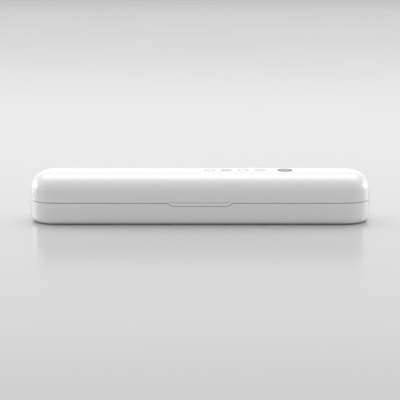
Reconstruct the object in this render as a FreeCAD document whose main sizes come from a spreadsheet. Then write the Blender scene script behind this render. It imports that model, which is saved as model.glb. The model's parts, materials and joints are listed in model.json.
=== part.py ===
"""Toothbrush sanitizer: a clamshell case with a UV-C lamp in its lid.

Millimetres, +Z up, +X along the case, the lift tab faces -Y and the hinge is at +Y. The origin
is the middle of the box round the whole object, at the surface that it stands on. Every piece is
drawn about the middle of the casing and then moved by dim.shift, because the hinge reaches
further back than the casing does.
"""
import FreeCAD, Part
import math
import os

import Sketcher
from FreeCAD import Vector

SIZES = {
    # casing
    "case_length": 220, "case_width": 38, "case_height": 32, "corner": 17, "crown": 12,
    "wall": 1.8, "seam": 14.4, "gap": 0.3, "stand": 0.3, "draft": 0.5, "base_edge": 3,
    "rim_round": 0.3, "fit": 0.3,
    # lip round the lid's rim, lift tab, and the crease that runs over the tab
    "lip": 0.2, "lip_height": 1.1, "tab_width": 41, "tab_drop": 2.1, "tab_top": 0.8, "tab_end": 4,
    "crease": 0.45, "crease_depth": 0.8, "crease_inset": 1.1,
    # hinge
    "hinge_out": 1.2, "hinge_radius": 2, "hinge_x": 60, "ear": 4, "knuckle": 9, "side_gap": 0.25,
    "relief": 0.25, "pin": 0.75, "pin_play": 0.05,
    # liners
    "trough_length": 201.6, "trough_width": 21.6, "trough_round": 10.7, "sheet": 1,
    "tray_floor": 2.7, "tray_top": 13.4, "tray_round": 3, "trough_fillet": 2, "mouth_round": 0.5,
    "liner_low": 14.85, "liner_high": 21, "dome_round": 2, "roof_fillet": 1.2,
    "fixing_x": 80, "fixing_y": 13.8, "boss": 1.7, "bore": 0.8, "bore_depth": 6, "boss_top": 26,
    "clear_hole": 1.1, "screw_length": 6, "cross": 2.2, "cross_width": 0.5,
    "magnet_x": 30, "magnet": 1.8, "magnet_height": 2, "cup": 0.4,
    "sensor_x": 45, "seal_out": 0.4, "seal_in": 1.2, "seal_height": 1, "seal_round": 0.3,
    # feet, reflector and rests
    "foot": 4, "foot_x": 85, "foot_y": 10, "foot_sunk": 1, "foot_edge": 0.2,
    "head_x": -78, "reflector": 10, "reflector_sheet": 0.4, "reflector_spread": 50,
    "reflector_length": 38, "neck_x": -50, "head_rest_length": 8, "head_rest_height": 6.5,
    "head_notch": 3, "handle_x": 52, "handle_rest_length": 14, "handle_rest_height": 8,
    "handle_notch": 7, "rest_round": 0.8, "rest_foot": 2.05,
    # marks and button, on the flat strip of the lid's top
    "mark_x": 6.2, "mark_pitch": 10.85, "top_y": 0, "mark": 3.5, "lens": 2.65, "play": 0.05,
    "button_x": 54.8, "bezel": 4.7, "cap": 3.8, "cap_play": 0.15, "proud": 0.1, "dome": 0.05,
    "flange": 0.8, "lens_flange": 1,
    # circuit board and what is on it
    "board_x": 33, "board_length": 76, "board_width": 18, "board_low": 25.2, "board": 1.2,
    "board_fix_x": 35, "board_fix_y": 6.5, "board_boss": 1.7, "board_bore": 3, "board_screw": 2.5,
    "chip": 0.9, "chip_x": 20, "main_chip": 7, "charge_x": 58, "charge_y": 3.5, "charge_chip": 4,
    "small_x": 12, "small_y": 6.6, "small_pitch": 3.2, "leg_pitch": 1.27, "leg": 0.4,
    "leg_height": 1.2, "sensor_y": -8.2, "sensor_length": 4, "sensor_width": 1.5,
    "sensor_height": 2.9, "led_length": 1.6, "led_width": 1, "led_height": 0.7, "guard_width": 8.6,
    "guard_round": 2, "guard_height": 2.6, "guard_well": 2.6, "air": 0.02,
    "switch": 6.2, "switch_round": 0.4, "switch_height": 2, "well": 1.3, "plunger": 1.55,
    "plunger_low": 1.4, "plunger_play": 0.2,
    # cell, lamp and socket
    "cell_x": -31, "cell_length": 46, "cell_width": 18, "cell_height": 6, "cell_up": 0.7,
    "cell_round": 1.5, "cell_edge": 1, "plug_x": 7.5, "plug_y": -2, "plug": 5, "plug_height": 2.6,
    "lead_length": 5, "lead_gap": 2, "uvc_lamp": 3.5, "uvc_pitch": 7.5, "frame_round": 1,
    "pane_round": 0.5, "opening_round": 2, "seal_thick": 0.5, "pane": 1,
    "uvc_length": 40.5, "uvc_width": 15, "window_length": 38, "window_width": 13,
    "opening_length": 34, "opening_width": 10, "frame_top": 25,
    "socket_z": 18.3, "socket_width": 9, "socket_height": 3.2, "socket_depth": 7.2,
    "socket_sheet": 0.3, "socket_back": 0.8, "socket_sunk": 0.3, "socket_play": 0.15,
    "tongue_width": 6.6, "tongue": 0.7, "tongue_length": 4.6, "charge_board": 12,
    "charge_length": 5.2, "charge_thick": 0.6, "wire": 0.45, "uvc_lead_y": 1.2,
    "charge_lead_y": 5.4,
}

BASE_RIM = "dim.seam - dim.gap / 2"
LID_RIM = "dim.seam + dim.gap / 2"
HINGE_Y = "dim.case_width / 2 + dim.hinge_out"
CEILING = "dim.case_height - dim.wall"
BOARD_TOP = "dim.board_low + dim.board"
DRAFT_ANGLE = "-atan(dim.draft / (dim.seam - dim.gap / 2 - dim.stand))"

doc = FreeCAD.newDocument("toothbrush_sanitizer")
sub_parts = []


def fill_sheet():
    """Write the driving dimensions into the spreadsheet, one named cell each."""
    sheet = doc.addObject("Spreadsheet::Sheet", "dim")
    for row, (alias, value) in enumerate(SIZES.items(), start=1):
        sheet.set(f"A{row}", alias)
        sheet.set(f"B{row}", str(value))
        sheet.setAlias(f"B{row}", alias)
    row = len(SIZES) + 1
    sheet.set(f"A{row}", "shift")
    sheet.set(f"B{row}", "=-(hinge_out + hinge_radius) / 2")
    sheet.setAlias(f"B{row}", "shift")
    doc.recompute()
    return sheet


sheet = fill_sheet()
constraint = Sketcher.Constraint
UP = Vector(0, 0, 1)
QUARTER = math.pi / 2


# ---------------------------------------------------------------- helpers
def value(formula):
    """The present value of a formula in the spreadsheet's names."""
    result = sheet.evalExpression(str(formula))
    return float(getattr(result, "Value", result))


def bind(item, formulas):
    """Bind properties to formulas."""
    for path, formula in formulas.items():
        item.setExpression(path, str(formula))


def settle(item, label):
    """Name a finished sub-part and move it from the casing's middle to its place."""
    item.Label = label
    bind(item, {"Placement.Base.y": "dim.shift"})
    sub_parts.append(item)
    return item


def plane(body, role):
    """One of a body's own origin planes."""
    return next(item for item in body.Origin.OriginFeatures if item.Role == role)


def sketch(body, role="XY_Plane", x=0, y=0, z=0):
    """An empty sketch on an origin plane, moved by x and y in it and z along its normal."""
    item = body.newObject("Sketcher::SketchObject", "outline")
    item.AttachmentSupport = [(plane(body, role), "")]
    item.MapMode = "FlatFace"
    bind(item, {"AttachmentOffset.Base.x": x, "AttachmentOffset.Base.y": y,
                "AttachmentOffset.Base.z": z})
    return item


def hold(item, rule, formula=None):
    """Add a constraint, driven by a formula if it has a size."""
    index = item.addConstraint(rule)
    if formula is not None:
        bind(item, {f"Constraints[{index}]": formula})


def arc(x, y, radius, start, end):
    return Part.ArcOfCircle(Part.Circle(Vector(x, y, 0), UP, radius), start, end)


def rounded(item, length, width, radius):
    """Draw a rounded rectangle about the sketch's origin."""
    half_x, half_y, r = value(length) / 2, value(width) / 2, value(radius)
    first = item.GeometryCount
    corners = [(1, -1), (1, 1), (-1, 1), (-1, -1)]
    for turn, (sx, sy) in enumerate(corners):
        start = (turn - 1) * QUARTER
        middle = Vector(sx * (half_x - r), sy * (half_y - r), 0)
        before = corners[turn - 1]
        last = Vector(before[0] * (half_x - r), before[1] * (half_y - r), 0)
        out = Vector(math.cos(start), math.sin(start), 0) * r
        item.addGeometry(Part.LineSegment(last + out, middle + out))
        item.addGeometry(arc(middle.x, middle.y, r, start, start + QUARTER))
    for step in range(8):
        hold(item, constraint("Tangent", first + step, 2, first + (step + 1) % 8, 1))
    hold(item, constraint("Horizontal", first + 4))
    hold(item, constraint("Vertical", first + 6))
    for step in (3, 5, 7):
        hold(item, constraint("Equal", first + 1, first + step))
    hold(item, constraint("Symmetric", first, 1, first, 2, -2))
    hold(item, constraint("Symmetric", first + 2, 1, first + 2, 2, -1))
    hold(item, constraint("Radius", first + 1, r), radius)
    hold(item, constraint("DistanceX", first + 6, 1, first + 2, 1, 2 * half_x), length)
    hold(item, constraint("DistanceY", first, 1, first + 4, 1, 2 * half_y), width)
    return item


def circles(item, radius, spots):
    """Draw equal circles at the given spots."""
    for x, y in spots:
        index = item.addGeometry(Part.Circle(Vector(value(x), value(y), 0), UP, value(radius)))
        hold(item, constraint("Radius", index, value(radius)), radius)
        hold(item, constraint("DistanceX", -1, 1, index, 3, value(x)), x)
        hold(item, constraint("DistanceY", -1, 1, index, 3, value(y)), y)
    return item


def polygon(item, points, closed=True):
    """Draw straight lines from point to point, each point held by its own formulas."""
    spots = [Vector(value(x), value(y), 0) for x, y in points]
    count = len(spots) if closed else len(spots) - 1
    for step in range(count):
        item.addGeometry(Part.LineSegment(spots[step], spots[(step + 1) % len(spots)]))
    for step in range(count if closed else count - 1):
        hold(item, constraint("Coincident", step, 2, (step + 1) % count, 1))
    for step, (x, y) in enumerate(points):
        line, end = (step, 1) if step < count else (step - 1, 2)
        hold(item, constraint("DistanceX", -1, 1, line, end, spots[step].x), x)
        hold(item, constraint("DistanceY", -1, 1, line, end, spots[step].y), y)
    return item


def tab_outline(item, level, upper, lower, width="dim.tab_width", over=1):
    """Draw the lift tab's outline: a shallow drop below level with a rounded corner at each end.

    upper is the radius of the small arc where the outline leaves level and lower that of the
    large arc of the corner. The outline closes at a height of over above level.
    """
    half, top, drop = value(width) / 2, value(level), value("dim.tab_drop")
    a, b = value(upper), value(lower)
    turn = math.acos(1 - drop / (a + b))
    inner = half - (a + b) * math.sin(turn)
    roof = top + over
    item.addGeometry(Part.LineSegment(Vector(-half, roof, 0), Vector(half, roof, 0)))
    item.addGeometry(Part.LineSegment(Vector(half, roof, 0), Vector(half, top, 0)))
    item.addGeometry(arc(half, top - a, a, QUARTER, QUARTER + turn))
    item.addGeometry(arc(inner, top - drop + b, b, -QUARTER, turn - QUARTER))
    item.addGeometry(Part.LineSegment(Vector(inner, top - drop, 0), Vector(-inner, top - drop, 0)))
    item.addGeometry(arc(-inner, top - drop + b, b, 3 * QUARTER - turn, 3 * QUARTER))
    item.addGeometry(arc(-half, top - a, a, QUARTER - turn, QUARTER))
    item.addGeometry(Part.LineSegment(Vector(-half, top, 0), Vector(-half, roof, 0)))
    for ends in ((0, 2, 1, 1), (1, 2, 2, 1), (6, 2, 7, 1), (7, 2, 0, 1)):
        hold(item, constraint("Coincident", *ends))
    for ends in ((2, 2, 3, 2), (3, 1, 4, 1), (4, 2, 5, 2), (5, 1, 6, 1)):
        hold(item, constraint("Tangent", *ends))
    for line in (1, 7):
        hold(item, constraint("Vertical", line))
    for line in (0, 4):
        hold(item, constraint("Horizontal", line))
    hold(item, constraint("Vertical", 2, 3, 2, 1))
    hold(item, constraint("Vertical", 6, 3, 6, 2))
    hold(item, constraint("Equal", 2, 6))
    hold(item, constraint("Equal", 3, 5))
    hold(item, constraint("Symmetric", 2, 1, 6, 2, -2))
    hold(item, constraint("Radius", 2, a), upper)
    hold(item, constraint("Radius", 3, b), lower)
    hold(item, constraint("DistanceX", 6, 2, 2, 1, 2 * half), width)
    hold(item, constraint("DistanceY", 4, 1, 2, 1, drop), "dim.tab_drop")
    hold(item, constraint("DistanceY", -1, 1, 2, 1, top), level)
    hold(item, constraint("DistanceY", 1, 2, 1, 1, over))
    return item


def lobe(item, sign):
    """Draw a hinge lug: three quarters of a disc, its square corner buried in the wall.

    sign is 1 for a lug that hangs from a wall above the axis and -1 for one that stands on a
    wall below it.
    """
    y, z, r = value(HINGE_Y), value("dim.seam"), value("dim.hinge_radius")
    start, end = (-2 * QUARTER, QUARTER) if sign > 0 else (-QUARTER, 2 * QUARTER)
    item.addGeometry(arc(y, z, r, start, end))
    item.addGeometry(Part.LineSegment(Vector(y, z + sign * r, 0), Vector(y - r, z + sign * r, 0)))
    item.addGeometry(Part.LineSegment(Vector(y - r, z + sign * r, 0), Vector(y - r, z, 0)))
    low, high = (2, 1) if sign > 0 else (1, 2)
    hold(item, constraint("Coincident", 0, low, 1, 1))
    hold(item, constraint("Coincident", 1, 2, 2, 1))
    hold(item, constraint("Coincident", 2, 2, 0, high))
    hold(item, constraint("Horizontal", 1))
    hold(item, constraint("Vertical", 2))
    hold(item, constraint("Vertical", 0, 3, 1, 1))
    hold(item, constraint("Horizontal", 0, 3, 2, 2))
    hold(item, constraint("Radius", 0, r), "dim.hinge_radius")
    hold(item, constraint("DistanceX", -1, 1, 0, 3, y), HINGE_Y)
    hold(item, constraint("DistanceY", -1, 1, 0, 3, z), "dim.seam")
    return item


def volume(body):
    return body.Shape.Volume if not body.Shape.isNull() else 0


def extrude(body, kind, profile, length, flip=False, taper=None):
    """Add a pad or a pocket, and make sure that it changed the body's volume the right way."""
    before = volume(body)
    feature = body.newObject("PartDesign::" + kind, kind.lower())
    feature.Profile = profile
    feature.Reversed = flip
    bind(feature, {"Length": length})
    if taper:
        bind(feature, {"TaperAngle": taper})
    doc.recompute()
    change = volume(body) - before
    if (change <= 0) if kind == "Pad" else (change >= 0):
        raise ValueError(f"{kind} in {body.Label} changed the volume by {change:.3f}")
    return feature


def pad(body, profile, length, flip=False, taper=None):
    return extrude(body, "Pad", profile, length, flip, taper)


def pocket(body, profile, length, flip=False):
    return extrude(body, "Pocket", profile, length, flip)


def turned(body, points, x, y="dim.top_y"):
    """A solid of revolution about an upright axis, from (radius, height) points."""
    profile = polygon(sketch(body, "XZ_Plane", x=x, z=f"-({y})"), points)
    feature = body.newObject("PartDesign::Revolution", "turned")
    feature.Profile = profile
    feature.ReferenceAxis = (profile, ["V_Axis"])
    feature.Angle = 360
    doc.recompute()
    return feature


def edges_at(shape, level):
    """Names of the edges that lie flat at a height."""
    height = value(level)
    return [f"Edge{number}" for number, edge in enumerate(shape.Edges, start=1)
            if abs(edge.BoundBox.ZMin - height) < 1e-4 and abs(edge.BoundBox.ZMax - height) < 1e-4]


def outer_edges_at(shape, level):
    """Names of the edges round the outside of the flat face at a height."""
    height = value(level)
    face = next(face for face in shape.Faces if face.BoundBox.ZLength < 1e-4
                and abs(face.BoundBox.ZMin - height) < 1e-4)
    outside = face.OuterWire.Edges
    return [f"Edge{number}" for number, edge in enumerate(shape.Edges, start=1)
            if any(edge.isSame(other) for other in outside)]


def inner_edges_at(shape, level):
    """Names of the edges round the opening in the flat face at a height."""
    outside = outer_edges_at(shape, level)
    return [name for name in edges_at(shape, level) if name not in outside]


def fillet(body, base, names, radius):
    feature = body.newObject("PartDesign::Fillet", "fillet")
    feature.Base = (base, names)
    bind(feature, {"Radius": radius})
    doc.recompute()
    return feature


def mirror(body, features, role):
    """Repeat features on the other side of an origin plane."""
    feature = body.newObject("PartDesign::Mirrored", "mirrored")
    feature.Originals = features
    feature.MirrorPlane = (plane(body, role), [""])
    body.Tip = feature
    doc.recompute()
    return feature


def box(x, y, z, length, width, height):
    """A block with its middle at x and y and its underside at z."""
    item = doc.addObject("Part::Box", "block")
    bind(item, {"Length": length, "Width": width, "Height": height,
                "Placement.Base.x": f"({x}) - ({length}) / 2",
                "Placement.Base.y": f"({y}) - ({width}) / 2", "Placement.Base.z": z})
    return item


def cylinder(x, y, z, radius, height, lying=False):
    """A cylinder that stands on z, or one that runs along +X from x when lying."""
    item = doc.addObject("Part::Cylinder", "round")
    if lying:
        item.Placement.Rotation = FreeCAD.Rotation(Vector(0, 1, 0), 90)
    bind(item, {"Radius": radius, "Height": height, "Placement.Base.x": x,
                "Placement.Base.y": y, "Placement.Base.z": z})
    return item


def group(label, items):
    """One node made of separate solids."""
    item = doc.addObject("Part::Compound", label)
    item.Links = items
    return settle(item, label)


def new_body(label):
    return doc.addObject("PartDesign::Body", label)


def four(x, y):
    """Spots at plus and minus x and y."""
    return [(f"{sx} * {x}", f"{sy} * {y}") for sx in (-1, 1) for sy in (-1, 1)]


# ---------------------------------------------------------------- hinge features
def lugs(body, sign, starts, length):
    """Hinge lugs that begin at the given x, all on the +X half."""
    return [pad(body, lobe(sketch(body, "YZ_Plane", z=start), sign), length) for start in starts]


def reliefs(body, starts, length):
    """Round clearances in a wall, where the other half's lugs turn."""
    cuts = []
    for start in starts:
        profile = circles(sketch(body, "YZ_Plane", z=start), "dim.hinge_radius + dim.relief",
                          [(HINGE_Y, "dim.seam")])
        cuts.append(pocket(body, profile, length, flip=True))
    return cuts


def pin_bore(body, radius):
    """The hole for the hinge pins, through every lug."""
    end = "dim.hinge_x + dim.knuckle / 2 + dim.side_gap + dim.ear + 1"
    profile = circles(sketch(body, "YZ_Plane", z=end), radius, [(HINGE_Y, "dim.seam")])
    pocket(body, profile, f"2 * ({end})")


KNUCKLE_START = "dim.hinge_x - dim.knuckle / 2"
EAR_STARTS = (f"{KNUCKLE_START} - dim.side_gap - dim.ear",
              "dim.hinge_x + dim.knuckle / 2 + dim.side_gap")
EAR_RELIEFS = (f"{KNUCKLE_START} - 2 * dim.side_gap - dim.ear",
               "dim.hinge_x + dim.knuckle / 2")


# ---------------------------------------------------------------- base
def base_shell():
    body = new_body("base_shell")
    rim = rounded(sketch(body, z=BASE_RIM), "dim.case_length", "dim.case_width", "dim.corner")
    tub = pad(body, rim, f"{BASE_RIM} - dim.stand", flip=True, taper=DRAFT_ANGLE)
    edge = fillet(body, tub, edges_at(tub.Shape, "dim.stand"), "dim.base_edge")
    fillet(body, edge, edges_at(edge.Shape, BASE_RIM), "dim.rim_round")
    side = "2 * (dim.wall + dim.draft)"
    hollow = rounded(sketch(body, z=BASE_RIM), f"dim.case_length - {side}",
                     f"dim.case_width - {side}", "dim.corner - dim.wall - dim.draft")
    pocket(body, hollow, f"{BASE_RIM} - dim.stand - dim.wall")
    notch = tab_outline(sketch(body, "XZ_Plane", z="dim.case_width / 2 + 1"), BASE_RIM,
                        "dim.tab_top - dim.gap", "dim.tab_end + dim.gap")
    pocket(body, notch, "dim.wall + dim.draft + 1.5")
    bosses = circles(sketch(body, z="dim.stand + dim.wall"), "dim.boss",
                     four("dim.fixing_x", "dim.fixing_y"))
    pad(body, bosses, "dim.tray_top - dim.sheet - dim.stand - dim.wall")
    bores = circles(sketch(body, z="dim.tray_top - dim.sheet"), "dim.bore",
                    four("dim.fixing_x", "dim.fixing_y"))
    pocket(body, bores, "dim.bore_depth")
    recesses = circles(sketch(body, z="dim.stand"), "dim.foot + dim.play",
                       four("dim.foot_x", "dim.foot_y"))
    pocket(body, recesses, "dim.foot_sunk", flip=True)
    ears = lugs(body, -1, EAR_STARTS, "dim.ear")
    cuts = reliefs(body, [f"{KNUCKLE_START} - dim.side_gap"], "dim.knuckle + 2 * dim.side_gap")
    mirror(body, ears + cuts, "YZ_Plane")
    pin_bore(body, "dim.pin")
    settle(body, "base_shell")


def brush_tray():
    body = new_body("brush_tray")
    side = "2 * (dim.wall + dim.draft + dim.fit)"
    flange = rounded(sketch(body, z="dim.tray_top"), f"dim.case_length - {side}",
                     f"dim.case_width - {side}", "dim.corner - dim.wall - dim.draft - dim.fit")
    pad(body, flange, "dim.sheet", flip=True)
    tub = pad(body, rounded(sketch(body, z="dim.tray_floor"),
                            "dim.trough_length + 2 * dim.sheet",
                            "dim.trough_width + 2 * dim.sheet", "dim.trough_round + dim.sheet"),
              "dim.tray_top - dim.tray_floor")
    fillet(body, tub, edges_at(tub.Shape, "dim.tray_floor"), "dim.tray_round")
    trough = rounded(sketch(body, z="dim.tray_top"), "dim.trough_length", "dim.trough_width",
                     "dim.trough_round")
    cut = pocket(body, trough, "dim.tray_top - dim.tray_floor - dim.sheet")
    floor = fillet(body, cut, edges_at(cut.Shape, "dim.tray_floor + dim.sheet"),
                   "dim.trough_fillet")
    fillet(body, floor, inner_edges_at(floor.Shape, "dim.tray_top"), "dim.mouth_round")
    spots = [("-dim.magnet_x", "-dim.fixing_y"), ("dim.magnet_x", "-dim.fixing_y"),
             ("dim.sensor_x", "-dim.fixing_y")]
    under = "dim.tray_top - dim.sheet"
    cups = circles(sketch(body, z=under), "dim.magnet + dim.cup", spots)
    pad(body, cups, "dim.magnet_height", flip=True)
    wells = circles(sketch(body, z=f"{under} - dim.magnet_height"), "dim.magnet + dim.play", spots)
    pocket(body, wells, "dim.magnet_height", flip=True)
    holes = circles(sketch(body, z="dim.tray_top"), "dim.clear_hole",
                    four("dim.fixing_x", "dim.fixing_y"))
    pocket(body, holes, "dim.sheet")
    settle(body, "brush_tray")


def screw(x, y, head_z, head_height, shank, point_up):
    """A screw with a cross in its head. head_z is the height of the face that it bears on."""
    sign = 1 if point_up else -1
    head_low = f"{head_z} - {head_height}" if point_up else head_z
    shank_low = head_z if point_up else f"{head_z} - {shank}"
    slot_low = head_low if point_up else f"{head_z} + {head_height} / 2"
    solid = doc.addObject("Part::MultiFuse", "screw")
    solid.Shapes = [cylinder(x, y, head_low, "dim.boss - 2 * dim.play", head_height),
                    cylinder(x, y, shank_low, "dim.bore", shank)]
    cross = doc.addObject("Part::MultiFuse", "cross")
    cross.Shapes = [box(x, y, slot_low, "dim.cross", "dim.cross_width", f"{head_height} / 2"),
                    box(x, y, slot_low, "dim.cross_width", "dim.cross", f"{head_height} / 2")]
    cut = doc.addObject("Part::Cut", "driven")
    cut.Base = solid
    cut.Tool = cross
    return cut


def base_hardware():
    spots = four("dim.fixing_x", "dim.fixing_y")
    group("tray_screws", [screw(x, y, "dim.tray_top", head_height=0.7, shank="dim.screw_length",
                                point_up=False) for x, y in spots])
    low = "dim.tray_top - dim.sheet - dim.magnet_height"
    group("base_magnets", [cylinder(f"{side} * dim.magnet_x", "-dim.fixing_y", low, "dim.magnet",
                                    "dim.magnet_height") for side in (-1, 1)])
    group("sensor_magnet", [cylinder("dim.sensor_x", "-dim.fixing_y", low, "dim.magnet",
                                     "dim.magnet_height")])
    start = f"{EAR_STARTS[0]} + 2 * dim.play"
    length = "dim.knuckle + 2 * dim.side_gap + 2 * dim.ear - 4 * dim.play"
    group("hinge_pins", [cylinder(x, HINGE_Y, "dim.seam", "dim.pin", length, lying=True)
                         for x in (start, f"-({start}) - ({length})")])
    feet = []
    for x, y in four("dim.foot_x", "dim.foot_y"):
        block = cylinder(x, y, 0, "dim.foot", "dim.stand + dim.foot_sunk")
        foot = doc.addObject("Part::Fillet", "foot")
        foot.Base = block
        doc.recompute()
        low_edge = next(number for number, edge in enumerate(block.Shape.Edges, start=1)
                        if edge.BoundBox.ZMax < 1e-6)
        foot.Edges = [(low_edge, value("dim.foot_edge"), value("dim.foot_edge"))]
        feet.append(foot)
    group("foot_pads", feet)


def head_reflector():
    """A polished trough of thin sheet, under the brush head."""
    body = new_body("head_reflector")
    item = sketch(body, "YZ_Plane", z="dim.head_x - dim.reflector_length / 2")
    level = "dim.tray_floor + dim.sheet + dim.play + dim.reflector"
    radii = ("dim.reflector", "dim.reflector - dim.reflector_sheet")
    outer, inner, spread = value(radii[0]), value(radii[1]), value("dim.reflector_spread")
    centre = value(level)
    low = -QUARTER - math.radians(spread)
    high = -QUARTER + math.radians(spread)
    edge = [Vector(math.cos(angle), math.sin(angle), 0) for angle in (low, high)]
    middle = Vector(0, centre, 0)
    item.addGeometry(arc(0, centre, outer, low, high))
    item.addGeometry(Part.LineSegment(middle + edge[1] * outer, middle + edge[1] * inner))
    item.addGeometry(arc(0, centre, inner, low, high))
    item.addGeometry(Part.LineSegment(middle + edge[0] * inner, middle + edge[0] * outer))
    for ends in ((0, 2, 1, 1), (1, 2, 2, 2), (2, 1, 3, 1), (3, 2, 0, 1), (0, 3, 2, 3)):
        hold(item, constraint("Coincident", *ends))
    hold(item, constraint("PointOnObject", 0, 3, -2))
    hold(item, constraint("DistanceY", -1, 1, 0, 3, centre), level)
    for curve, radius in zip((0, 2), radii):
        hold(item, constraint("Symmetric", curve, 1, curve, 2, -2))
        hold(item, constraint("Radius", curve, value(radius)), radius)
        chord = f"2 * ({radius}) * sin(dim.reflector_spread * 1 deg)"
        hold(item, constraint("DistanceX", curve, 1, curve, 2, value(chord)), chord)
    pad(body, item, "dim.reflector_length")
    settle(body, "head_reflector")


def cradle(label, x, length, height, notch):
    """A soft block across the trough with a round notch that the toothbrush drops into."""
    body = new_body(label)
    floor = "dim.tray_floor + dim.sheet"
    block = pad(body, rounded(sketch(body, x=x, z=floor), length, "dim.trough_width - 2 * dim.play",
                              "dim.rest_round"), height)
    along = [f"Edge{number}" for number, edge in enumerate(block.Shape.Edges, start=1)
             if edge.BoundBox.ZMax < value(floor) + 1e-4 and edge.BoundBox.YLength < 1e-4]
    fillet(body, block, along, "dim.rest_foot")
    cut = circles(sketch(body, "YZ_Plane", z=f"{x} + {length}"), notch, [(0, f"{floor} + {height}")])
    pocket(body, cut, f"2 * {length}")
    settle(body, label)


def rim_seal():
    body = new_body("rim_seal")
    item = sketch(body, z="dim.tray_top")
    for inset in ("dim.seal_out", "dim.seal_in"):
        side = f"2 * (dim.wall + dim.draft + {inset})"
        rounded(item, f"dim.case_length - {side}", f"dim.case_width - {side}",
                f"dim.corner - dim.wall - dim.draft - {inset}")
    bead = pad(body, item, "dim.seal_height")
    fillet(body, bead, edges_at(bead.Shape, "dim.tray_top + dim.seal_height"), "dim.seal_round")
    settle(body, "rim_seal")


# ---------------------------------------------------------------- lid
def lid_shell():
    body = new_body("lid_shell")
    rim = rounded(sketch(body, z=LID_RIM), "dim.case_length - 2 * dim.lip",
                  "dim.case_width - 2 * dim.lip", "dim.corner - dim.lip")
    block = pad(body, rim, f"dim.case_height - ({LID_RIM})")
    crown = fillet(body, block, edges_at(block.Shape, "dim.case_height"), "dim.crown")
    skin = body.newObject("PartDesign::Thickness", "skin")
    skin.Base = (crown, [f"Face{number}" for number, face in enumerate(crown.Shape.Faces, start=1)
                         if face.BoundBox.ZMax < value(LID_RIM) + 1e-4])
    bind(skin, {"Value": "dim.wall"})
    skin.Reversed = True
    doc.recompute()
    lip = lid_lip(body)
    fillet(body, lip, outer_edges_at(lip.Shape, LID_RIM), "dim.rim_round")
    lid_tab(body)
    fixings(body)
    top_holes(body)
    socket_hole(body)
    knuckles = lugs(body, 1, [KNUCKLE_START], "dim.knuckle")
    cuts = reliefs(body, EAR_RELIEFS, "dim.ear + 2 * dim.side_gap")
    mirror(body, knuckles + cuts, "YZ_Plane")
    pin_bore(body, "dim.pin + dim.pin_play")
    settle(body, "lid_shell")


def lid_lip(body):
    """A low lip that swells out of the wall towards the lid's rim."""
    ring = sketch(body, z=LID_RIM)
    for inset in ("0", "dim.lip + dim.wall / 2"):
        rounded(ring, f"dim.case_length - 2 * ({inset})", f"dim.case_width - 2 * ({inset})",
                f"dim.corner - ({inset})")
    return pad(body, ring, "dim.lip_height", taper="-atan(dim.lip / dim.lip_height)")


def lid_tab(body):
    """The lift tab, flush with the lip, and the crease that runs over it."""
    inside = "dim.case_width / 2 - dim.wall"
    tab = tab_outline(sketch(body, "XZ_Plane", z=inside), LID_RIM, "dim.tab_top", "dim.tab_end",
                      over=0.3)
    pad(body, tab, "dim.wall")
    level = "dim.seam + dim.tab_drop"
    width = "dim.tab_width - 2 * dim.crease_inset"
    groove = tab_outline(sketch(body, "XZ_Plane", z="dim.case_width / 2"), level,
                         "dim.tab_top - dim.crease", "dim.tab_end + dim.crease", width)
    pocket(body, groove, "dim.crease_depth")
    refill = tab_outline(sketch(body, "XZ_Plane", z="dim.case_width / 2 - dim.crease_depth"),
                         f"{level} + dim.crease", "dim.tab_top", "dim.tab_end", width)
    pad(body, refill, "dim.crease_depth - dim.lip")


def fixings(body):
    """Bosses that the liner and the circuit board are screwed to."""
    low = "dim.liner_low + dim.sheet"
    spots = four("dim.fixing_x", "dim.fixing_y")
    pad(body, circles(sketch(body, z=low), "dim.boss", spots), f"dim.boss_top - ({low})")
    pocket(body, circles(sketch(body, z=low), "dim.bore", spots), "dim.bore_depth", flip=True)
    spots = board_spots()
    pad(body, circles(sketch(body, z=BOARD_TOP), "dim.board_boss", spots),
        f"{CEILING} + 0.5 - ({BOARD_TOP})")
    pocket(body, circles(sketch(body, z=BOARD_TOP), "dim.bore", spots), "dim.board_bore", flip=True)


def board_spots():
    """Where the circuit board's three screws are."""
    return [("dim.board_x - dim.board_fix_x", "-dim.board_fix_y"),
            ("dim.board_x - dim.board_fix_x", "dim.board_fix_y"),
            ("dim.board_x + dim.board_fix_x", 0)]


def mark_spots():
    return [(f"dim.mark_x + {step} * dim.mark_pitch", "dim.top_y") for step in range(4)]


def top_holes(body):
    """Holes through the lid's top for the marks and the button."""
    top = "dim.case_height"
    pocket(body, circles(sketch(body, z=top), "dim.mark + dim.play", mark_spots()), "dim.wall + 1")
    hole = circles(sketch(body, z=top), "dim.bezel + dim.play", [("dim.button_x", "dim.top_y")])
    pocket(body, hole, "dim.wall + 1")


def socket_hole(body):
    """The hole for the charging socket, in the lid's right end."""
    hole = rounded(sketch(body, "YZ_Plane", y="dim.socket_z", z="dim.case_length / 2 + 1"),
                   "dim.socket_width + 2 * dim.socket_play",
                   "dim.socket_height + 2 * dim.socket_play", "dim.socket_height / 2 + 0.1")
    pocket(body, hole, "dim.wall + 2")


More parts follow.
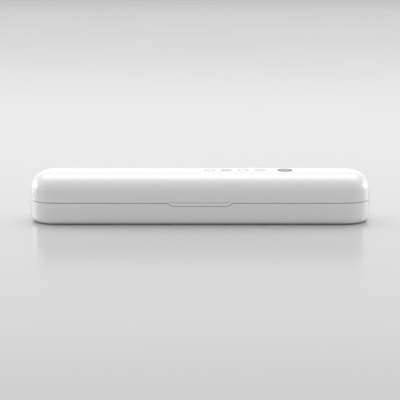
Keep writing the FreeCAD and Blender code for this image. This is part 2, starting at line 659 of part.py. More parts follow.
def lid_liner():
    body = new_body("lid_liner")
    side = "2 * (dim.wall + dim.lip + dim.fit)"
    low = "dim.liner_low"
    flange = rounded(sketch(body, z=low), f"dim.case_length - {side}", f"dim.case_width - {side}",
                     "dim.corner - dim.wall - dim.lip - dim.fit")
    pad(body, flange, "dim.sheet")
    dome = pad(body, rounded(sketch(body, z=low), "dim.trough_length + 2 * dim.sheet",
                             "dim.trough_width + 2 * dim.sheet", "dim.trough_round + dim.sheet"),
               "dim.liner_high - dim.liner_low")
    fillet(body, dome, edges_at(dome.Shape, "dim.liner_high"), "dim.dome_round")
    hollow = rounded(sketch(body, z=low), "dim.trough_length", "dim.trough_width",
                     "dim.trough_round")
    cut = pocket(body, hollow, "dim.liner_high - dim.liner_low - dim.sheet", flip=True)
    roof = fillet(body, cut, edges_at(cut.Shape, "dim.liner_high - dim.sheet"), "dim.roof_fillet")
    fillet(body, roof, inner_edges_at(roof.Shape, low), "dim.mouth_round")
    frame = sketch(body, x="dim.head_x", z="dim.liner_high")
    rounded(frame, "dim.uvc_length + 0.5", "dim.uvc_width", "dim.frame_round")
    rounded(frame, "dim.window_length + 0.4", "dim.window_width + 0.4", 0.6)
    pad(body, frame, "dim.frame_top - dim.liner_high")
    opening = rounded(sketch(body, x="dim.head_x", z="dim.liner_high"), "dim.opening_length",
                      "dim.opening_width", "dim.opening_round")
    pocket(body, opening, "dim.sheet")
    spots = [("-dim.magnet_x", "-dim.fixing_y"), ("dim.magnet_x", "-dim.fixing_y")]
    over = "dim.liner_low + dim.sheet"
    pad(body, circles(sketch(body, z=over), "dim.magnet + dim.cup", spots), "dim.magnet_height")
    wells = circles(sketch(body, z=f"{over} + dim.magnet_height"), "dim.magnet + dim.play", spots)
    pocket(body, wells, "dim.magnet_height")
    holes = circles(sketch(body, z=low), "dim.clear_hole", four("dim.fixing_x", "dim.fixing_y"))
    pocket(body, holes, "dim.sheet", flip=True)
    settle(body, "lid_liner")


def lid_hardware():
    spots = four("dim.fixing_x", "dim.fixing_y")
    group("liner_screws", [screw(x, y, "dim.liner_low", head_height=0.4,
                                 shank="dim.screw_length", point_up=True) for x, y in spots])
    group("lid_magnets", [cylinder(f"{side} * dim.magnet_x", "-dim.fixing_y",
                                   "dim.liner_low + dim.sheet", "dim.magnet",
                                   "dim.magnet_height") for side in (-1, 1)])


# ---------------------------------------------------------------- electronics
def control_board():
    body = new_body("control_board")
    outline = rounded(sketch(body, x="dim.board_x", z="dim.board_low"), "dim.board_length",
                      "dim.board_width", 1.5)
    pad(body, outline, "dim.board")
    holes = circles(sketch(body, z="dim.board_low"), "dim.clear_hole", board_spots())
    pocket(body, holes, "dim.board", flip=True)
    settle(body, "control_board")
    group("board_screws", [screw(x, y, "dim.board_low", head_height=0.8,
                                 shank="dim.board + dim.board_screw", point_up=True)
                           for x, y in board_spots()])


def board_parts():
    """Chips, small components, lamps and sensor. All but the lamps hang under the board."""
    def under(x, y, length, width, height):
        return box(x, y, f"dim.board_low - ({height})", length, width, height)

    group("main_chip", [under("dim.chip_x", 0, "dim.main_chip", "dim.main_chip", "dim.chip")])
    group("charge_chip", [under("dim.charge_x", "dim.charge_y", "dim.charge_chip",
                                "dim.charge_chip", "dim.chip")])
    small = [under(f"dim.small_x + {step} * dim.small_pitch", f"{side} * dim.small_y",
                   "dim.led_length", "dim.led_width", "dim.led_height")
             for side in (-1, 1) for step in range(4)]
    coil = under("dim.charge_x - 9", "dim.charge_y", "dim.charge_chip", "dim.charge_chip", 2)
    fuse = under("dim.charge_x - 9", "-dim.charge_y", 3, 2.4, 1.1)
    group("board_components", small + [coil, fuse])
    group("indicator_leds", [box(x, y, BOARD_TOP, "dim.led_length", "dim.led_width",
                                 "dim.led_height") for x, y in mark_spots()])
    legs = [box(f"dim.sensor_x + {step} * dim.leg_pitch", "dim.sensor_y",
                "dim.board_low - dim.leg_height", "dim.leg", "dim.leg", "dim.leg_height")
            for step in (-1, 0, 1)]
    sensor = doc.addObject("Part::MultiFuse", "sensor")
    sensor.Shapes = legs + [box("dim.sensor_x", "dim.sensor_y",
                                "dim.board_low - dim.leg_height + 0.1 - dim.sensor_height",
                                "dim.sensor_length", "dim.sensor_width", "dim.sensor_height")]
    group("lid_sensor", [sensor])


def light_guard():
    """A block over the lamps, with a well for each."""
    body = new_body("light_guard")
    middle, low = "dim.mark_x + 1.5 * dim.mark_pitch", f"{BOARD_TOP} + dim.air"
    block = rounded(sketch(body, x=middle, y="dim.top_y", z=low), "3 * dim.mark_pitch + 8",
                    "dim.guard_width", "dim.guard_round")
    pad(body, block, "dim.guard_height")
    wells = circles(sketch(body, z=low), "dim.guard_well", mark_spots())
    pocket(body, wells, "dim.guard_height", flip=True)
    settle(body, "light_guard")


def marks():
    """Four round windows, each a clear lens with a flange under it and a ring round it."""
    top, under = "dim.case_height", CEILING
    for number, (x, _) in enumerate(mark_spots(), start=1):
        lens = new_body(f"indicator_lens_{number}")
        turned(lens, [(0, f"{under} - dim.lens_flange"),
                      ("dim.mark - 0.1", f"{under} - dim.lens_flange"),
                      ("dim.mark - 0.1", f"{under} - dim.play"), ("dim.lens", f"{under} - dim.play"),
                      ("dim.lens", top), (0, top)], x)
        settle(lens, f"indicator_lens_{number}")
        ring = new_body(f"indicator_ring_{number}")
        turned(ring, [("dim.lens + dim.play", under), ("dim.mark", under), ("dim.mark", top),
                      ("dim.mark - 0.1", f"{top} + dim.dome"),
                      ("dim.lens + 0.15", f"{top} + dim.dome"),
                      ("dim.lens + dim.play", top)], x)
        settle(ring, f"indicator_ring_{number}")


def button():
    """The power button's cap, the bezel that it moves in, and its switch."""
    top, under = "dim.case_height", CEILING
    bezel = new_body("button_bezel")
    inner = "dim.cap + dim.cap_play"
    turned(bezel, [(inner, under), ("dim.bezel", under), ("dim.bezel", top),
                   ("dim.bezel - 0.2", f"{top} + dim.proud"),
                   (f"{inner} + 0.15", f"{top} + dim.proud"), (inner, top)], "dim.button_x")
    settle(bezel, "button_bezel")
    cap = new_body("power_button")
    skirt = "dim.bezel - 0.3"
    foot = f"{under} - dim.flange"
    turned(cap, [(0, foot), (skirt, foot), (skirt, f"{under} - 0.15"),
                 ("dim.cap", f"{under} - 0.15"), ("dim.cap", f"{top} - 0.15"),
                 ("dim.cap - 0.3", f"{top} + dim.dome"), (0, f"{top} + dim.dome")], "dim.button_x")
    settle(cap, "power_button")
    switch = new_body("tact_switch")
    block = rounded(sketch(switch, x="dim.button_x", y="dim.top_y", z=BOARD_TOP), "dim.switch",
                    "dim.switch", "dim.switch_round")
    pad(switch, block, "dim.switch_height")
    well = circles(sketch(switch, z=f"{BOARD_TOP} + dim.switch_height"),
                   "dim.plunger + dim.plunger_play", [("dim.button_x", "dim.top_y")])
    pocket(switch, well, "dim.well")
    settle(switch, "tact_switch")
    low = f"{BOARD_TOP} + dim.plunger_low"
    group("switch_plunger", [cylinder("dim.button_x", "dim.top_y", low, "dim.plunger",
                                      f"{foot} - ({low})")])


def cell():
    """The cell on its foam strip, its plug under the board, and its two leads."""
    body = new_body("battery_cell")
    low = "dim.liner_high + dim.cell_up"
    block = pad(body, rounded(sketch(body, x="dim.cell_x", z=low), "dim.cell_length",
                              "dim.cell_width", "dim.cell_round"), "dim.cell_height")
    names = edges_at(block.Shape, low) + edges_at(block.Shape, f"{low} + dim.cell_height")
    fillet(body, block, names, "dim.cell_edge")
    settle(body, "battery_cell")
    group("battery_pad", [box("dim.cell_x", 0, "dim.liner_high + dim.play", "dim.cell_length - 8",
                              "dim.cell_width - 6", "dim.cell_up - 2 * dim.play")])
    end = "dim.cell_x + dim.cell_length / 2"
    group("battery_plug", [box(f"{end} + dim.plug_x", "dim.plug_y",
                               "dim.board_low - dim.plug_height", "dim.plug", "dim.plug",
                               "dim.plug_height")])
    for label, sign in (("battery_lead_red", "+"), ("battery_lead_black", "-")):
        group(label, [cylinder(end, f"dim.plug_y {sign} dim.lead_gap / 2",
                               "dim.board_low - dim.plug_height / 2", "dim.wire",
                               "dim.lead_length", lying=True)])


def lamp():
    """The UV-C lamp: a narrow board on a frame over the window, with its seal."""
    seal = new_body("window_seal")
    ring = sketch(seal, x="dim.head_x", z="dim.liner_high + dim.air")
    rounded(ring, "dim.window_length", "dim.window_width", "dim.pane_round")
    rounded(ring, "dim.opening_length + 0.4", "dim.opening_width + 0.4", "dim.opening_round + 0.2")
    pad(seal, ring, "dim.seal_thick")
    settle(seal, "window_seal")
    window = new_body("uvc_window")
    pane = rounded(sketch(window, x="dim.head_x", z="dim.liner_high + dim.seal_thick + 2 * dim.air"),
                   "dim.window_length", "dim.window_width", "dim.pane_round")
    pad(window, pane, "dim.pane")
    settle(window, "uvc_window")
    board = new_body("uvc_board")
    strip = rounded(sketch(board, x="dim.head_x", z="dim.frame_top"), "dim.uvc_length",
                    "dim.uvc_width - 0.6", "dim.frame_round")
    pad(board, strip, 1)
    settle(board, "uvc_board")
    group("uvc_leds", [box(f"dim.head_x + {step} * dim.uvc_pitch", 0, "dim.frame_top - 1",
                           "dim.uvc_lamp", "dim.uvc_lamp", 1) for step in (-1.5, -0.5, 0.5, 1.5)])


def lead_pair(label, points, y):
    """Two insulated wires side by side, each bent in an upright plane at plus and minus y."""
    body = new_body(label)
    route = polygon(sketch(body, "XZ_Plane", z=y), points, closed=False)
    end = sketch(body, x=points[0][0], y=f"-({y})", z=points[0][1])
    circles(end, "dim.wire", [(0, 0)])
    wire = body.newObject("PartDesign::AdditivePipe", "wire")
    wire.Profile = end
    wire.Spine = route
    wire.Transition = "Round corner"
    doc.recompute()
    mirror(body, [wire], "XZ_Plane")
    settle(body, label)


def leads():
    above_cell = "dim.liner_high + dim.cell_up + dim.cell_height + 1"
    lamp_end = "dim.head_x + dim.uvc_length / 2 - 2.5"
    board_end = "dim.board_x - dim.board_length / 2 + 1.8"
    lead_pair("uvc_leads", [(lamp_end, "dim.frame_top + 1"), (lamp_end, above_cell),
                            (board_end, above_cell), (board_end, BOARD_TOP)], "dim.uvc_lead_y")
    socket_end = "dim.case_length / 2 - 7"
    far_end = "dim.board_x + dim.board_length / 2 - 3"
    over_dome = "dim.liner_high + 1.4"
    under_socket = "dim.socket_z - dim.socket_height / 2 - dim.play"
    lead_pair("charge_leads", [(socket_end, under_socket), (socket_end, over_dome),
                               (far_end, over_dome), (far_end, "dim.board_low")],
              "dim.charge_lead_y")


def charge_socket():
    """The charging socket: a flat oval shell with a tongue inside, on a small board."""
    body = new_body("charge_socket")
    face = "dim.case_length / 2 - dim.lip - dim.socket_sunk"
    back = f"{face} - dim.socket_depth + dim.socket_back"
    inset = "2 * dim.socket_sheet"
    outside = rounded(sketch(body, "YZ_Plane", y="dim.socket_z", z=face), "dim.socket_width",
                      "dim.socket_height", "dim.socket_height / 2 - dim.play")
    pad(body, outside, "dim.socket_depth", flip=True)
    mouth = rounded(sketch(body, "YZ_Plane", y="dim.socket_z", z=face),
                    f"dim.socket_width - {inset}", f"dim.socket_height - {inset}",
                    "dim.socket_height / 2 - dim.play - dim.socket_sheet")
    pocket(body, mouth, "dim.socket_depth - dim.socket_back")
    tongue = rounded(sketch(body, "YZ_Plane", y="dim.socket_z", z=back), "dim.tongue_width",
                     "dim.tongue", 0.2)
    pad(body, tongue, "dim.tongue_length")
    settle(body, "charge_socket")
    low = "dim.socket_z - dim.socket_height / 2 - dim.play - dim.charge_thick"
    group("charge_board", [box("dim.case_length / 2 - dim.lip - dim.charge_length", 0, low,
                               "dim.charge_length", "dim.charge_board", "dim.charge_thick")])


# ---------------------------------------------------------------- build and write
def build():
    base_shell()
    brush_tray()
    base_hardware()
    head_reflector()
    cradle("head_rest", "dim.neck_x", "dim.head_rest_length", "dim.head_rest_height",
           "dim.head_notch")
    cradle("handle_rest", "dim.handle_x", "dim.handle_rest_length", "dim.handle_rest_height",
           "dim.handle_notch")
    rim_seal()
    lid_shell()
    lid_liner()
    lid_hardware()
    control_board()
    board_parts()
    light_guard()
    marks()
    button()
    cell()
    lamp()
    leads()
    charge_socket()
    doc.recompute()


def check():
    """Stop if an object failed, or a sub-part is empty, broken or off its name."""
    for item in doc.Objects:
        if "Invalid" in item.State or "Error" in item.State:
            raise ValueError(f"{item.Label} ({item.Name}) is {item.State}")
    for item in sub_parts:
        if item.Shape.isNull() or not item.Shape.isValid() or not item.Shape.Solids:
            raise ValueError(f"{item.Label} has no valid solid")


def write():
    os.makedirs("parts", exist_ok=True)
    for item in sub_parts:
        item.Shape.exportStep(os.path.join("parts", item.Label + ".step"))


build()
check()
write()
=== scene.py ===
"""Looks of the toothbrush sanitizer: materials, soft parts, table, light and camera.

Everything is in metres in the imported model's frame. Sizes come from the frame's boxes, or are
named values in millimetres times MM.
"""
import json
import math

import bmesh
import bpy
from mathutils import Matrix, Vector


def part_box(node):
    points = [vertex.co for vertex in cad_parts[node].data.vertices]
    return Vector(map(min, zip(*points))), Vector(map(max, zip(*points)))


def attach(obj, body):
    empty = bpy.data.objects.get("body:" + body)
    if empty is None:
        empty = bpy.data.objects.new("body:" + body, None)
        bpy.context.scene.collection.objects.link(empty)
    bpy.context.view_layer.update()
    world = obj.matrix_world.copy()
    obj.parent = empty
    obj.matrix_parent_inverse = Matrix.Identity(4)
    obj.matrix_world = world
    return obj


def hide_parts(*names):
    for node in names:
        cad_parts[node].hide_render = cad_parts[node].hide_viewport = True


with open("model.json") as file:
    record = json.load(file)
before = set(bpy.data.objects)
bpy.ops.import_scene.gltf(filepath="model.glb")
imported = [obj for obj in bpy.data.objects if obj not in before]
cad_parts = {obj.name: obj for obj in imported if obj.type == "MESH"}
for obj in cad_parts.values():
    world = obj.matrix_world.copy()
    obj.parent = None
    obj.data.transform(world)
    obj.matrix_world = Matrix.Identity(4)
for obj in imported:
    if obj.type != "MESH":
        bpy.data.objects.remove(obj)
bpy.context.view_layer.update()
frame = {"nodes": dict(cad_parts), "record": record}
MM = 0.001
scene = bpy.context.scene
nodes = frame["nodes"]
slot_of = {row["node"]: row["material_slot"] for row in frame["record"]["subparts"]}
tray_low, tray_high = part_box("brush_tray")
middle_y = (tray_low.y + tray_high.y) / 2


# ---------------------------------------------------------------- material helpers
class Shade:
    """A node tree round one Principled shader, with short calls to add and join nodes."""

    def __init__(self, name, colour, roughness, **sockets):
        self.material = bpy.data.materials.new(name)
        self.material.use_nodes = True
        self.tree = self.material.node_tree
        self.shader = self.tree.nodes["Principled BSDF"]
        self.set("Base Color", (*colour, 1))
        self.set("Roughness", roughness)
        for socket, value in sockets.items():
            self.set(socket.replace("_", " "), value)
        self.place = self.add("ShaderNodeTexCoord").outputs["Object"]

    def add(self, kind, **properties):
        node = self.tree.nodes.new(kind)
        for key, value in properties.items():
            setattr(node, key, value)
        return node

    def set(self, socket, value):
        self.shader.inputs[socket].default_value = value

    def join(self, start, end):
        self.tree.links.new(start, end)

    def noise(self, per_metre, detail=3, stretch=(1, 1, 1), roughness=0.5):
        """Noise with about that many features to a metre, stretched along the axes."""
        scale = self.add("ShaderNodeMapping")
        scale.inputs["Scale"].default_value = stretch
        self.join(self.place, scale.inputs["Vector"])
        texture = self.add("ShaderNodeTexNoise")
        texture.inputs["Scale"].default_value = per_metre
        texture.inputs["Detail"].default_value = detail
        texture.inputs["Roughness"].default_value = roughness
        self.join(scale.outputs["Vector"], texture.inputs["Vector"])
        return texture.outputs["Fac"]

    def ramp(self, fac, low, high, start=0.35, end=0.65):
        """Spread fac's middle range between two values."""
        node = self.add("ShaderNodeMapRange")
        for socket, value in zip(("From Min", "From Max", "To Min", "To Max"),
                                 (start, end, low, high)):
            node.inputs[socket].default_value = value
        self.join(fac, node.inputs["Value"])
        return node.outputs["Result"]

    def vary_colour(self, fac, first, second):
        node = self.add("ShaderNodeMix", data_type="RGBA")
        node.inputs["A"].default_value = (*first, 1)
        node.inputs["B"].default_value = (*second, 1)
        self.join(fac, node.inputs["Factor"])
        self.join(node.outputs["Result"], self.shader.inputs["Base Color"])

    def vary_roughness(self, fac, low, high):
        self.join(self.ramp(fac, low, high), self.shader.inputs["Roughness"])

    def bump(self, *layers):
        """Add bump layers: (height, depth in metres, strength)."""
        normal = None
        for height, depth, strength in layers:
            node = self.add("ShaderNodeBump")
            node.inputs["Distance"].default_value = depth
            node.inputs["Strength"].default_value = strength
            self.join(height, node.inputs["Height"])
            if normal:
                self.join(normal, node.inputs["Normal"])
            normal = node.outputs["Normal"]
        self.join(normal, self.shader.inputs["Normal"])


def grey(value):
    return (value, value, value)


def moulded(name, colour, roughness, coat=0.0, grain=1.0, shift=0.02):
    """Moulded plastic: a fine skin, slow changes of gloss and a trace of colour change."""
    shade = Shade(name, colour, roughness)
    shade.set("IOR", 1.5)
    if coat:
        shade.set("Coat Weight", coat)
        shade.set("Coat Roughness", 0.16)
    darker = tuple(channel * (1 - shift) for channel in colour)
    shade.vary_colour(shade.ramp(shade.noise(60), 0, 1), colour, darker)
    shade.vary_roughness(shade.noise(450, detail=4), roughness * 0.9, roughness * 1.12)
    shade.bump((shade.noise(9000, detail=2), 0.004 * MM * grain, 0.35),
               (shade.noise(180, detail=1), 0.02 * MM, 0.12))
    return shade.material


def silicone(name, colour):
    shade = Shade(name, colour, 0.62)
    shade.set("IOR", 1.41)
    shade.set("Subsurface Weight", 0.06)
    shade.set("Subsurface Radius", (0.6, 0.6, 0.6))
    shade.set("Subsurface Scale", 0.001)
    lighter = tuple(min(1, channel * 1.06) for channel in colour)
    shade.vary_colour(shade.ramp(shade.noise(900), 0, 1), colour, lighter)
    shade.vary_roughness(shade.noise(1500), 0.55, 0.7)
    shade.bump((shade.noise(12000, detail=2), 0.01 * MM, 0.5))
    return shade.material


def metal(name, colour, roughness, stretch=(1, 1, 1), scratch=0.02, shine=1.0):
    """Metal with a drawn or turned grain along the axis that stretch makes short."""
    shade = Shade(name, colour, roughness, Metallic=shine)
    grain = shade.noise(2500, detail=5, stretch=stretch, roughness=0.7)
    darker = tuple(channel * 0.9 for channel in colour)
    shade.vary_colour(shade.ramp(grain, 0, 1), darker, colour)
    shade.vary_roughness(grain, roughness * 0.75, roughness * 1.3)
    shade.bump((grain, scratch * MM, 0.25))
    return shade.material


def circuit(name, colour):
    """Solder mask with the faint relief of tracks under it."""
    shade = Shade(name, colour, 0.38)
    shade.set("Coat Weight", 0.3)
    tracks = shade.add("ShaderNodeTexBrick")
    tracks.inputs["Scale"].default_value = 320
    tracks.inputs["Mortar Size"].default_value = 0.03
    tracks.inputs["Color1"].default_value = (*grey(0), 1)
    tracks.inputs["Color2"].default_value = (*grey(0.3), 1)
    tracks.inputs["Mortar"].default_value = (*grey(1), 1)
    shade.join(shade.place, tracks.inputs["Vector"])
    brighter = tuple(channel * 1.35 for channel in colour)
    shade.vary_colour(tracks.outputs["Fac"], colour, brighter)
    shade.vary_roughness(shade.noise(800), 0.32, 0.45)
    shade.bump((tracks.outputs["Fac"], 0.03 * MM, 0.4))
    return shade.material


def quartz(name):
    shade = Shade(name, (0.95, 0.975, 1.0), 0.03)
    shade.set("Transmission Weight", 1.0)
    shade.set("IOR", 1.46)
    shade.vary_roughness(shade.noise(300), 0.02, 0.05)
    shade.bump((shade.noise(120, detail=1), 0.01 * MM, 0.1))
    return shade.material


def lens_material(name, colour, roughness):
    """A frosted window that light from below would spread in."""
    shade = Shade(name, colour, roughness)
    shade.set("IOR", 1.49)
    shade.set("Subsurface Weight", 0.12)
    shade.set("Subsurface Radius", (1, 1, 1))
    shade.set("Subsurface Scale", 0.001)
    shade.set("Coat Weight", 0.5)
    shade.set("Coat Roughness", 0.04)
    shade.vary_colour(shade.ramp(shade.noise(700), 0, 1), colour,
                      tuple(channel * 0.97 for channel in colour))
    shade.vary_roughness(shade.noise(900), roughness * 0.9, roughness * 1.1)
    shade.bump((shade.noise(6000, detail=2), 0.003 * MM, 0.3))
    return shade.material


def mark(name, tone, roughness=0.6):
    """A satin window or ring that mirrors little, so its tone shows at a flat angle too."""
    shade = Shade(name, grey(tone), roughness)
    shade.set("Specular IOR Level", 0.12)
    shade.vary_colour(shade.ramp(shade.noise(900), 0, 1), grey(tone), grey(tone * 0.95))
    shade.vary_roughness(shade.noise(1200), roughness * 0.9, roughness * 1.1)
    shade.bump((shade.noise(8000, detail=2), 0.004 * MM, 0.35))
    return shade.material


ALONG_X = (0.02, 1, 1)
MATERIALS = {
    "case_white": moulded("case_white", grey(0.86), 0.34, coat=1.0, grain=0.6, shift=0.006),
    "liner_white": moulded("liner_white", (0.80, 0.81, 0.82), 0.5, grain=3.0),
    "silicone_grey": silicone("silicone_grey", (0.40, 0.41, 0.43)),
    "foot_rubber": silicone("foot_rubber", grey(0.08)),
    "screw_steel": metal("screw_steel", grey(0.56), 0.3),
    "pin_steel": metal("pin_steel", grey(0.62), 0.22, stretch=ALONG_X),
    "magnet_nickel": metal("magnet_nickel", (0.66, 0.65, 0.62), 0.18),
    "reflector": metal("reflector", grey(0.88), 0.12, stretch=ALONG_X, scratch=0.006),
    "board_green": circuit("board_green", (0.02, 0.16, 0.07)),
    "board_metal": circuit("board_metal", (0.72, 0.73, 0.74)),
    "chip_black": moulded("chip_black", grey(0.018), 0.55, grain=4.0, shift=0.15),
    "part_tan": moulded("part_tan", (0.30, 0.22, 0.13), 0.45, shift=0.12),
    "lamp_white": lens_material("lamp_white", (0.86, 0.78, 0.45), 0.3),
    "switch_body": metal("switch_body", grey(0.5), 0.28),
    "switch_stem": moulded("switch_stem", grey(0.02), 0.4, shift=0.1),
    "guard_black": moulded("guard_black", grey(0.02), 0.6, grain=3.0, shift=0.1),
    "cell_foil": metal("cell_foil", (0.66, 0.67, 0.69), 0.36, scratch=0.05),
    "foam_black": silicone("foam_black", grey(0.02)),
    "plug_cream": moulded("plug_cream", (0.76, 0.70, 0.55), 0.5, shift=0.05),
    "wire_red": silicone("wire_red", (0.42, 0.012, 0.01)),
    "wire_black": silicone("wire_black", grey(0.012)),
    "wire_white": silicone("wire_white", grey(0.65)),
    "quartz": quartz("quartz"),
    "socket_steel": metal("socket_steel", grey(0.55), 0.25, stretch=ALONG_X),
}


def wear(item, material):
    item.data.materials.clear()
    item.data.materials.append(material)


MARK_TONES = {"indicator_ring_1": 0.45, "indicator_ring_2": 0.50, "indicator_ring_3": 0.42,
              "indicator_ring_4": 0.55, "indicator_lens_1": 0.84, "indicator_lens_2": 0.60,
              "indicator_lens_3": 0.84, "indicator_lens_4": 0.70, "button_bezel": 0.14,
              "power_button": 0.42}

for node, item in nodes.items():
    if node in MARK_TONES:
        wear(item, mark(node + "_satin", MARK_TONES[node]))
    else:
        wear(item, MATERIALS[slot_of[node]])


# ---------------------------------------------------------------- soft parts
def dress(name, shape, slot, node, body, flat_ends=False):
    """Make the smooth piece called name from a bmesh, in place of a node.

    With flat_ends only its quads are shaded smooth.
    """
    bmesh.ops.recalc_face_normals(shape, faces=shape.faces)
    mesh = bpy.data.meshes.new(name)
    shape.to_mesh(mesh)
    shape.free()
    for face in mesh.polygons:
        face.use_smooth = not flat_ends or len(face.vertices) == 4
    item = bpy.data.objects.new(name, mesh)
    scene.collection.objects.link(item)
    wear(item, MATERIALS[slot])
    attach(item, body)
    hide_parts(node)


def mesh_piece(name, rows, slot, node, body, wrap=True):
    """Join rows of points, each a closed loop, into one smooth closed skin that replaces a node.

    With wrap the last row joins the first; without it the two end rows are capped.
    """
    shape = bmesh.new()
    loops = [[shape.verts.new(point) for point in row] for row in rows]
    pairs = list(zip(loops, loops[1:] + loops[:1])) if wrap else list(zip(loops, loops[1:]))
    for low, high in pairs:
        for step in range(len(low)):
            after = (step + 1) % len(low)
            shape.faces.new((low[step], low[after], high[after], high[step]))
    if not wrap:
        shape.faces.new(list(reversed(loops[0])))
        shape.faces.new(loops[-1])
    dress(name, shape, slot, node, body)


def arc_points(middle, radius, start, end, steps):
    """Points on an arc, as (across, up, outward direction across, outward direction up)."""
    angles = [start + (end - start) * step / steps for step in range(steps + 1)]
    return [(middle[0] + radius * math.cos(angle), middle[1] + radius * math.sin(angle),
             math.cos(angle), math.sin(angle)) for angle in angles]


# Radius of the round notch in each rest.
NOTCH = {"head_rest": 3 * MM, "handle_rest": 7 * MM}


def saddle_outline(half, low, high, notch):
    """A block's section with soft corners and a round notch in its top.

    Each point is (across, up, normal across, normal up, whether it is in the notch).
    """
    foot, shoulder, lip = 2.1 * MM, 1.2 * MM, 0.7 * MM
    turn = math.acos(lip / (notch + lip))
    edge = (notch + lip) * math.sin(turn)
    quarter = math.pi / 2
    side = [(*point, False) for point in
            arc_points((half - foot, low + foot), foot, -quarter, 0, 8)
            + arc_points((half - shoulder, high - shoulder), shoulder, 0, quarter, 8)
            + arc_points((edge, high - lip), lip, quarter, quarter + turn, 6)]
    bowl = [(x, z, -nx, -nz, True) for x, z, nx, nz in
            arc_points((0, high), notch, turn - quarter, -turn - quarter, 36)[1:-1]]
    return side + bowl + [(-x, z, -nx, nz, inside) for x, z, nx, nz, inside in reversed(side)]


def rest(node):
    """A silicone rest: soft edges all round, and fine ribs where the toothbrush lies."""
    low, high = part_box(node)
    middle = (low + high) / 2
    clear = 0.04 * MM
    half = (high.y - low.y) / 2 - clear
    outline = saddle_outline(half, low.z, high.z, NOTCH[node])
    edge, pitch, depth = 0.9 * MM, 1.6 * MM, 0.22 * MM
    start, end = low.x + clear, high.x - clear
    along = [start + edge * (1 - math.cos(step * math.pi / 16)) for step in range(8)]
    count = round((end - start - 2 * edge) / (pitch / 8))
    along += [start + edge + (end - start - 2 * edge) * step / count for step in range(count + 1)]
    along += [start + end - x for x in reversed(along[:8])]
    rows = []
    for x in along:
        inside = max(0, edge - min(x - start, end - x))
        round_off = edge - math.sqrt(edge ** 2 - inside ** 2)
        rib = depth * (0.5 + 0.5 * math.cos((x - middle.x) * 2 * math.pi / pitch)) ** 2
        row = []
        for y, z, ny, nz, in_notch in outline:
            sunk = round_off + (rib if in_notch else 0)
            row.append(Vector((x, middle.y + y - ny * sunk, z - nz * sunk)))
        rows.append(row)
    mesh_piece(node + "_soft", rows, "silicone_grey", node, "base", wrap=False)


def seal():
    """The silicone bead round the tray's rim: a flat foot and a narrow soft lip."""
    low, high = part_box("rim_seal")
    middle, half = (low + high) / 2, (high - low) / 2
    corner, width, height = 14.3 * MM, 0.74 * MM, high.z - low.z
    profile = []
    for step in range(20):
        angle = 2 * math.pi * step / 20
        lift = 0.5 + 0.5 * math.sin(angle)
        across = width / 2 * math.cos(angle) * (1 - 0.45 * lift ** 2)
        profile.append((across, height * lift))
    rows = []
    for sx, sy, start in ((1, 1, 0), (-1, 1, 1), (-1, -1, 2), (1, -1, 3)):
        for step in range(25):
            angle = (start + step / 24) * math.pi / 2
            out = Vector((math.cos(angle), math.sin(angle), 0))
            centre = Vector((middle.x + sx * (half.x - corner),
                             middle.y + sy * (half.y - corner), 0))
            line = centre + out * (corner - 0.4 * MM)
            rows.append([line + out * across + Vector((0, 0, low.z + up))
                         for across, up in profile])
    mesh_piece("rim_seal_soft", rows, "silicone_grey", "rim_seal", "base")


def feet():
    """Four rubber feet in one piece, each with a rounded edge and ring grooves underneath."""
    low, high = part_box("foot_pads")
    radius, top, segments = 3.98 * MM, high.z, 72
    spots = [Vector((x, y, 0)) for x in (low.x + radius, high.x - radius)
             for y in (low.y + radius, high.y - radius)]
    profile = [(radius, top)]
    profile += [(radius - 0.25 * MM * (1 - math.cos(angle)), 0.25 * MM * (1 - math.sin(angle)))
                for angle in (step * math.pi / 12 for step in range(7))]
    for groove in (2.9 * MM, 2.0 * MM, 1.1 * MM):
        profile += [(groove + 0.26 * MM * side, 0.16 * MM * (1 - abs(side)) ** 0.5)
                    for side in (1, 0.8, 0.4, 0, -0.4, -0.8, -1)]
    shape = bmesh.new()
    for spot in spots:
        rings = []
        for r, z in profile:
            turns = [2 * math.pi * step / segments for step in range(segments)]
            rings.append([shape.verts.new(spot + r * Vector((math.cos(turn), math.sin(turn), 0))
                                          + Vector((0, 0, z))) for turn in turns])
        for outer, inner in zip(rings, rings[1:]):
            for step in range(segments):
                after = (step + 1) % segments
                shape.faces.new((outer[step], outer[after], inner[after], inner[step]))
        shape.faces.new(rings[0])
        shape.faces.new(rings[-1])
    dress("foot_pads_soft", shape, "foot_rubber", "foot_pads", "base", flat_ends=True)


for rest_node in NOTCH:
    rest(rest_node)
seal()
feet()


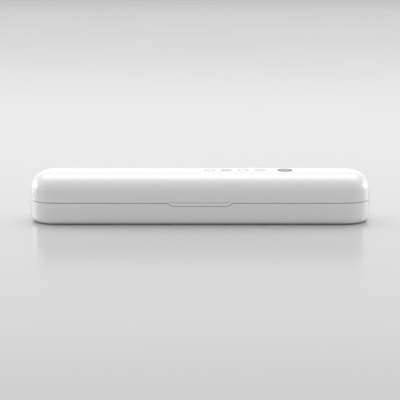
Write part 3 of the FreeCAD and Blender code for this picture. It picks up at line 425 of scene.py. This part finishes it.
# ---------------------------------------------------------------- table, light and camera
def table():
    """A plain pale floor with a soft gloss."""
    mesh = bpy.data.meshes.new("table")
    shape = bmesh.new()
    corners = [(-9, -4), (9, -4), (9, 14), (-9, 14)]
    shape.faces.new([shape.verts.new((x, y, 0)) for x, y in corners])
    shape.to_mesh(mesh)
    shape.free()
    item = bpy.data.objects.new("table", mesh)
    scene.collection.objects.link(item)
    shade = Shade("table_gloss", TABLE_COLOUR, TABLE_ROUGHNESS)
    shade.set("IOR", 1.7)
    shade.vary_roughness(shade.noise(6), TABLE_ROUGHNESS * 0.95, TABLE_ROUGHNESS * 1.05)
    wear(item, shade.material)


TABLE_COLOUR, TABLE_ROUGHNESS = grey(0.55), 0.2


def area(name, place, aim, width, height, power):
    light = bpy.data.lights.new(name, "AREA")
    light.shape = "RECTANGLE"
    light.size, light.size_y, light.energy = width, height, power
    item = bpy.data.objects.new(name, light)
    item.location = place
    item.rotation_euler = (Vector(aim) - Vector(place)).to_track_quat("-Z", "Y").to_euler()
    scene.collection.objects.link(item)


def studio():
    """Plain soft light: an even pale room, and soft boxes overhead, behind and at each side."""
    world = bpy.data.worlds.new("studio")
    world.use_nodes = True
    background = world.node_tree.nodes["Background"]
    background.inputs["Color"].default_value = (*grey(1), 1)
    background.inputs["Strength"].default_value = ROOM_LIGHT
    scene.world = world
    area("overhead", (0, 0.3, 0.9), (0, 0, 0), 1.4, 0.8, 7)
    area("back_box", (0, 3.5, 0.8), (0, 0, 0.8), 5.6, 1.4, 10)
    area("left_box", (-1.2, 0.4, 0.3), (0, 0, 0), 0.8, 0.5, 5)
    area("right_box", (1.2, 0.4, 0.3), (0, 0, 0), 0.8, 0.5, 4)
    scene.view_settings.view_transform = "Standard"


ROOM_LIGHT = 0.6


def camera():
    tilt, distance, look = math.radians(12.7), 0.737, Vector((0, middle_y, 0.0123))
    data = bpy.data.cameras.new("camera")
    data.angle = math.radians(20)
    item = bpy.data.objects.new("camera", data)
    back = Vector((0, -math.cos(tilt), math.sin(tilt)))
    item.location = look + back * distance
    item.rotation_euler = (-back).to_track_quat("-Z", "Y").to_euler()
    scene.collection.objects.link(item)
    scene.camera = item


table()
studio()
camera()
